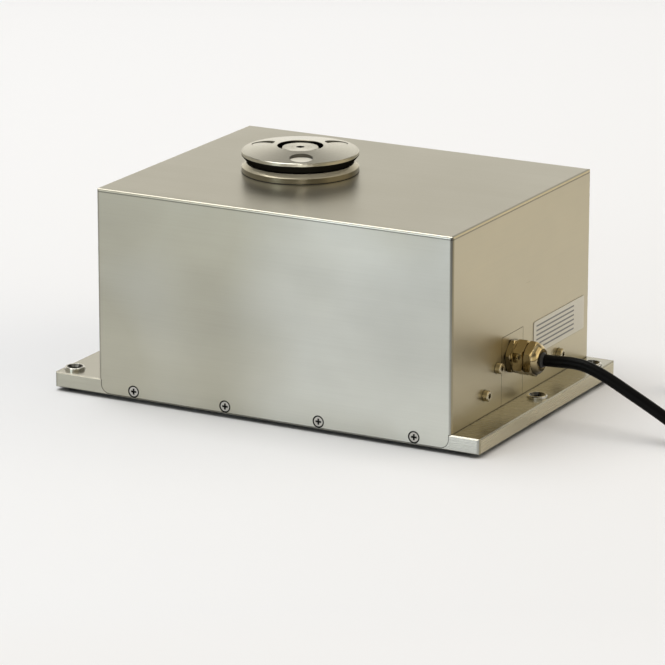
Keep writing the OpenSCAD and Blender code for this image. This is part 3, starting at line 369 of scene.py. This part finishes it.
def turned(name, color, rough, axis_x, axis_y, ring_pitch=0.00022):
    """Steel turned on a lathe: fine rings about the axis, sheen across them.

    The groove under the load plate is painted black as shade, the ring below it is warmer and
    half matt on top, with painted shade on its side and near the groove, and the pockets' walls
    are painted dark as shade.
    """
    s = Shader(name, color, 1.0, rough)
    place, normal = parts(s)
    z = place[2]
    radius = s.length(s.math("SUBTRACT", place[0], axis_x), s.math("SUBTRACT", place[1], axis_y))
    line = s.add("ShaderNodeCombineXYZ", {0: radius, 1: z, 2: 0.0}).outputs[0]
    rings = s.noise((1 / ring_pitch, 1 / ring_pitch, 1), 2.0, vector=line)

    high, ring_side_shade = s.above(z, RIM_LOW * MM), s.below(z, RING_SIDE * MM)
    groove, cone = within(s, z, GROOVE_LOW, RIM_LOW), within(s, z, RING_SIDE, GROOVE_LOW)
    flat, upright = s.above(normal[2], 0.998), s.below(s.math("ABSOLUTE", normal[2]), 0.3)
    floor = s.product(flat, within(s, z, POCKET_FLOOR - 0.1, POCKET_FLOOR + 0.1))
    pocket_wall_shade = s.product(upright, within(s, z, POCKET_FLOOR, POCKET_FLOOR + 2.2))

    # Painted shade: the groove black, the ring's top darker near the groove, the ring's side and
    # the pockets' walls darker
    shade = s.product(
        s.spread(rings, 0.93, 1.05), s.less(groove, 0.985),
        s.math("MAXIMUM", high, gap_shade(s, 2.5, 0.2, 0.6)),
        s.less(ring_side_shade, 0.6), s.less(pocket_wall_shade, 0.8))
    low_tone = (color[0], color[1] * 0.94, color[2] * 0.80, 1)
    # Painted reflection: the pockets' floors pale
    s.set("Base Color", s.mix(floor, s.tint(shade, s.mix(high, low_tone, s.color)), POCKET_PAINTED_PALE))
    s.set("Roughness", s.math("ADD", s.spread(rings, rough - 0.05, rough + 0.06),
                              s.product(floor, 0.45)))
    matt = s.math("MAXIMUM", s.math("MAXIMUM", groove, floor), s.product(cone, 0.5))
    s.set("Metallic", s.math("SUBTRACT", 1.0, matt))
    s.set("Specular IOR Level", s.product(s.math("SUBTRACT", 1.0, groove), 0.5))
    s.set("Anisotropic", 0.75)
    s.set("Tangent", s.add("ShaderNodeTangent", direction_type="RADIAL", axis="Z").outputs[0])
    s.bump(rings, 0.10, 0.00003)
    return s


def metal(name, color, rough, grain=900.0, shade=0.06, under=1.0):
    """Machined metal with a fine even grain, with painted shade on faces that look down, by the
    under factor.
    """
    s = Shader(name, color, 1.0, rough)
    fine = s.noise((grain, grain, grain), 2.0)
    wide = s.noise((40, 40, 40), 3.0)
    factor = s.product(s.spread(fine, 1 - shade, 1 + shade), s.spread(wide, 0.95, 1.04))
    if under < 1.0:
        _, normal = parts(s)
        factor = s.product(factor, s.remap(normal[2], -0.5, 0.3, under))
    s.set("Base Color", s.tint(factor, s.color))
    s.set("Roughness", s.spread(wide, rough - 0.05, rough + 0.07))
    s.bump(fine, 0.10, 0.00004)
    return s


def plain(name, color, rough, grain=700.0, depth=0.00005, gloss=0.4):
    """Plastic or rubber with a fine skin."""
    s = Shader(name, color, 0.0, rough)
    s.set("Specular IOR Level", gloss)
    fine = s.noise((grain, grain, grain), 3.0)
    wide = s.noise((50, 50, 50), 3.0)
    s.set("Base Color", s.tint(s.spread(wide, 0.9, 1.08), s.color))
    s.set("Roughness", s.spread(wide, rough - 0.05, rough + 0.06))
    s.bump(fine, 0.25, depth)
    return s


def label_shader():
    """A bare silvery label plate with generic ruled lines."""
    s = Shader("label_mat", (0.63, 0.60, 0.505), 0.0, 0.38)
    (_, y, z), _ = parts(s)
    (y0, z0), (y1, z1) = LABEL_LOW, LABEL_HIGH
    band = s.math("FRACT", s.math("DIVIDE", s.math("SUBTRACT", z, z0 * MM), RULE_PITCH * MM))
    rules = s.product(s.below(band, RULE_SHARE), within(s, z, z0 + 2, z1 - 2),
                      within(s, y, y0 + 3, y1 - 12))
    s.set("Base Color", s.mix(s.product(rules, 0.88), s.color, (0.08, 0.08, 0.08, 1)))
    s.bump(s.noise((600, 600, 600)), 0.1, 0.00003)
    return s


def board_shader():
    """Green solder mask over faint tracks."""
    s = Shader("board_mat", (0.02, 0.13, 0.05), 0.0, 0.3, 0.3)
    cells = s.add("ShaderNodeTexVoronoi", {
        "Vector": s.scaled((220, 220, 220)), "Scale": 1.0}, distance="CHEBYCHEV",
        feature="F1").outputs["Distance"]
    tracks = s.below(s.math("FRACT", s.product(cells, 4.0)), 0.35)
    s.set("Base Color", s.mix(s.product(tracks, 0.5), s.color, (0.05, 0.26, 0.10, 1)))
    s.bump(tracks, 0.2, 0.00003)
    return s


def winding_shader():
    """Enamelled copper wire, wound in fine rings."""
    s = Shader("copper_mat", (0.55, 0.22, 0.09), 1.0, 0.3)
    place, _ = parts(s)
    wire = s.math("FRACT", s.math("DIVIDE", place[2], 0.32 * MM))
    round_wire = s.math("SINE", s.product(wire, math.pi))
    # Painted shade between the wire turns, lighter on each wire's crest
    s.set("Base Color", s.tint(s.spread(round_wire, 0.75, 1.05), s.color))
    s.bump(round_wire, 0.6, 0.0001)
    return s


def screw_shader():
    """Bright screws with painted shade in their recesses, and a painted warm reflection on those
    beside the gland.

    The countersunk ones along the front and back edges also have a rim of painted shade.
    """
    s = metal("screw_mat", (0.50, 0.49, 0.46), 0.25)
    source = s.base_source()
    place, _ = parts(s)
    # Painted shade in the cross recesses of the countersunk heads
    recess_shade = s.product(s.below(s.math("ABSOLUTE", place[1]), APRON_HEAD_Y * MM),
                     s.below(apron_distance(s, place), HEAD_R * MM))
    shade = s.product(gap_shade(s, 1.1, 0.35, 0.7), ring_shade(s, place), s.less(recess_shade, 0.94))
    # Painted warm reflection on the screws beside the gland
    warm_reflection = s.mix(s.above(place[0], 0.1), source, (1.0, 0.90, 0.66, 1), blend_type="MULTIPLY")
    s.set("Base Color", s.tint(shade, warm_reflection))
    return s


def bush_shader():
    """Bright mounting bushes with painted shade in their bores."""
    s = metal("bush_mat", (0.56, 0.55, 0.51), 0.2)
    source = s.base_source()
    place, _ = parts(s)

    def off(value, middle):
        return s.math("ABSOLUTE", s.math("SUBTRACT", value, middle * MM))

    left = off(s.math("ABSOLUTE", place[1]), LEFT_BUSH_Y)
    right = off(off(place[1], RIGHT_BUSH_MID), RIGHT_BUSH_HALF)
    x = off(s.math("ABSOLUTE", place[0]), BUSH_X)
    # Painted shade inside the bores
    bore_shade = s.below(s.length(x, s.math("MINIMUM", left, right)), BUSH_MOUTH / 2 * MM)
    s.set("Base Color", s.tint(s.less(bore_shade, 0.85), source))
    return s


def make_materials():
    """One material for each material slot of the record."""
    return {
        "plate": brushed("plate_mat", (0.49, 0.475, 0.425), 0.25, 20.0, 1800.0, 0.04, 0.04, 0.84),
        "hood": brushed("hood_mat", (0.47, 0.45, 0.395)),
        "turned": turned("turned_mat", (0.50, 0.482, 0.415), 0.19, LOAD_X * MM, LOAD_Y * MM),
        "screw": screw_shader(),
        "bush": bush_shader(),
        "brassy": metal("brassy_mat", (0.52, 0.42, 0.24), 0.09, under=0.12),
        "alloy": metal("alloy_mat", (0.72, 0.72, 0.73), 0.36, 500.0),
        "spring": metal("spring_mat", (0.70, 0.55, 0.32), 0.25),
        "soft_iron": metal("soft_iron_mat", (0.42, 0.42, 0.43), 0.35),
        "magnet": metal("magnet_mat", (0.62, 0.62, 0.64), 0.18),
        "copper": winding_shader(),
        "black_plastic": plain("black_plastic_mat", (0.02, 0.02, 0.021), 0.5),
        "white_plastic": plain("white_plastic_mat", (0.72, 0.70, 0.65), 0.45),
        "board": board_shader(),
        "gold": metal("gold_mat", (0.75, 0.56, 0.24), 0.22),
        "cable": plain("cable_mat", (0.003, 0.003, 0.003), 0.38, gloss=0.06),
        "lead": plain("lead_mat", (0.20, 0.20, 0.21), 0.5),
        "label": label_shader(),
        "seal": plain("seal_mat", (0.014, 0.014, 0.014), 0.5),
    }


def dress(shaders, cable):
    """Gives every CAD node the material of its slot, with smooth shading by angle."""
    slots = {p["node"]: p["material_slot"] for p in frame["record"]["subparts"]}
    slots["mounting_bushes"] = "bush"
    for name, obj in frame["nodes"].items():
        obj.data.materials.clear()
        obj.data.materials.append(shaders[slots[name]].mat)
        smooth_by_angle(obj.data)
    cable.data.materials.append(shaders["cable"].mat)


def smooth_by_angle(mesh, limit=math.radians(32)):
    mesh.shade_smooth()
    mesh.set_sharp_from_angle(angle=limit)


# Floor, backdrop and light

def make_floor(size=9.0):
    """A pale floor with a painted shadow in the narrow gap under the plate.

    The steel mirrors a dimmer patch far in front on the right. The camera sees that patch as
    pale as the rest, and the far end a little paler.
    """
    mesh = bpy.data.meshes.new("floor")
    h = size / 2
    mesh.from_pydata([(-h, -h, 0), (h, -h, 0), (h, h, 0), (-h, h, 0)], [], [(0, 1, 2, 3)])
    floor = link(bpy.data.objects.new("floor", mesh))
    s = Shader("floor_mat", FLOOR_PALE, 0.0, 0.9)
    s.set("Specular IOR Level", 0.1)
    (x, y, _), _ = parts(s)
    ahead_x, ahead_y = PHOTO_AHEAD
    away = s.math("ADD", s.product(y, ahead_y), s.product(x, ahead_x))
    across = s.math("SUBTRACT", s.product(x, ahead_y), s.product(y, ahead_x))
    near = s.remap(away, -0.40, -0.34, 1.0, 0.0)
    right = s.remap(s.math("SUBTRACT", across, s.product(away, 0.7)), 0.0, 0.12)
    dim = s.product(near, right)
    pale = s.mix(dim, (*FLOOR_PALE, 1), (*FLOOR_DIM, 1))
    # Painted shadow in the gap under the plate
    s.set("Base Color", s.tint(gap_shade(s, 4.0, 0.15, 0.6), pale))
    seen = s.math("ADD", s.product(s.remap(away, 0.1, 0.9), 0.12), s.product(dim, 0.68))
    camera = s.add("ShaderNodeLightPath").outputs["Is Camera Ray"]
    s.set("Emission Color", (1, 1, 1, 1))
    s.set("Emission Strength", s.product(seen, camera))
    mesh.materials.append(s.mat)
    return floor


def area_light(name, place, size, watts, color, aim=(0.0, 0.0, 0.05), spread=180):
    data = bpy.data.lights.new(name, "AREA")
    data.shape = "RECTANGLE"
    data.size, data.size_y = size
    data.energy = watts
    data.color = color
    data.spread = math.radians(spread)
    lamp = link(bpy.data.objects.new(name, data))
    lamp.location = place
    lamp.rotation_mode = "QUATERNION"
    lamp.rotation_quaternion = (Vector(aim) - Vector(place)).to_track_quat("-Z", "Y")


def make_world():
    """Soft light from above; metal sees a bright room with a dimmer ceiling."""
    world = bpy.data.worlds.new("studio")
    bpy.context.scene.world = world
    world.use_nodes = True
    nodes, links = world.node_tree.nodes, world.node_tree.links

    def add(kind, **props):
        made = nodes.new(kind)
        for key, value in props.items():
            setattr(made, key, value)
        return made

    def rise(value, low, high, start, end):
        """Goes from start to end while a part of the direction goes from low to high."""
        node = add("ShaderNodeMapRange", interpolation_type="SMOOTHSTEP")
        links.new(value, node.inputs["Value"])
        limits = {"From Min": low, "From Max": high, "To Min": start, "To Max": end}
        for key, value in limits.items():
            node.inputs[key].default_value = value
        return node.outputs["Result"]

    split = add("ShaderNodeSeparateXYZ")
    links.new(add("ShaderNodeTexCoord").outputs["Generated"], split.inputs[0])
    soft = nodes["Background"]
    soft.inputs["Color"].default_value = (1.0, 0.985, 0.96, 1)
    links.new(rise(split.outputs[2], 0.0, 0.9, 0.46, 0.60), soft.inputs["Strength"])
    seen = add("ShaderNodeBackground")
    room = add("ShaderNodeMix", data_type="RGBA")
    links.new(rise(split.outputs[0], 0.1, 0.5, 0.0, 1.0), room.inputs[0])
    room.inputs[6].default_value = (1.0, 0.965, 0.87, 1)
    room.inputs[7].default_value = (0.66, 0.60, 0.45, 1)
    links.new(room.outputs[2], seen.inputs["Color"])
    walls = rise(split.outputs[2], 0.23, 0.58, 1.20, 0.25)
    total = add("ShaderNodeMath", operation="ADD")
    links.new(walls, total.inputs[0])
    links.new(rise(split.outputs[2], 0.6, 0.9, 0.0, 0.25), total.inputs[1])
    links.new(total.outputs[0], seen.inputs["Strength"])
    path, mixer = add("ShaderNodeLightPath"), add("ShaderNodeMixShader")
    either = path.outputs["Is Camera Ray"]
    for ray in ("Is Glossy Ray", "Is Transmission Ray"):
        most = add("ShaderNodeMath", operation="MAXIMUM")
        links.new(either, most.inputs[0])
        links.new(path.outputs[ray], most.inputs[1])
        either = most.outputs[0]
    links.new(either, mixer.inputs[0])
    links.new(soft.outputs[0], mixer.inputs[1])
    links.new(seen.outputs[0], mixer.inputs[2])
    links.new(mixer.outputs[0], nodes["World Output"].inputs["Surface"])


def make_lamps():
    area_light("key", (-0.55, -0.1, 1.9), (1.3, 1.3), 19.0, (1.0, 0.99, 0.97))
    area_light("window", (-0.33, -0.95, 0.20), (0.30, 0.36), 1.2, (0.80, 0.93, 1.0))
    area_light("streak", (0.158, -0.297, 0.09), (0.006, 0.12), 0.025, (1.0, 0.98, 0.95),
               (LOAD_X * MM, LOAD_Y * MM, 0.11), 25)
    area_light("warm", (1.5, 0.5, 0.9), (2.0, 1.6), 8.0, (1.0, 0.86, 0.62))


bpy.context.scene.view_settings.view_transform = "Standard"
make_camera()
cable = make_cable()
dress(make_materials(), cable)
make_floor()
make_world()
make_lamps()
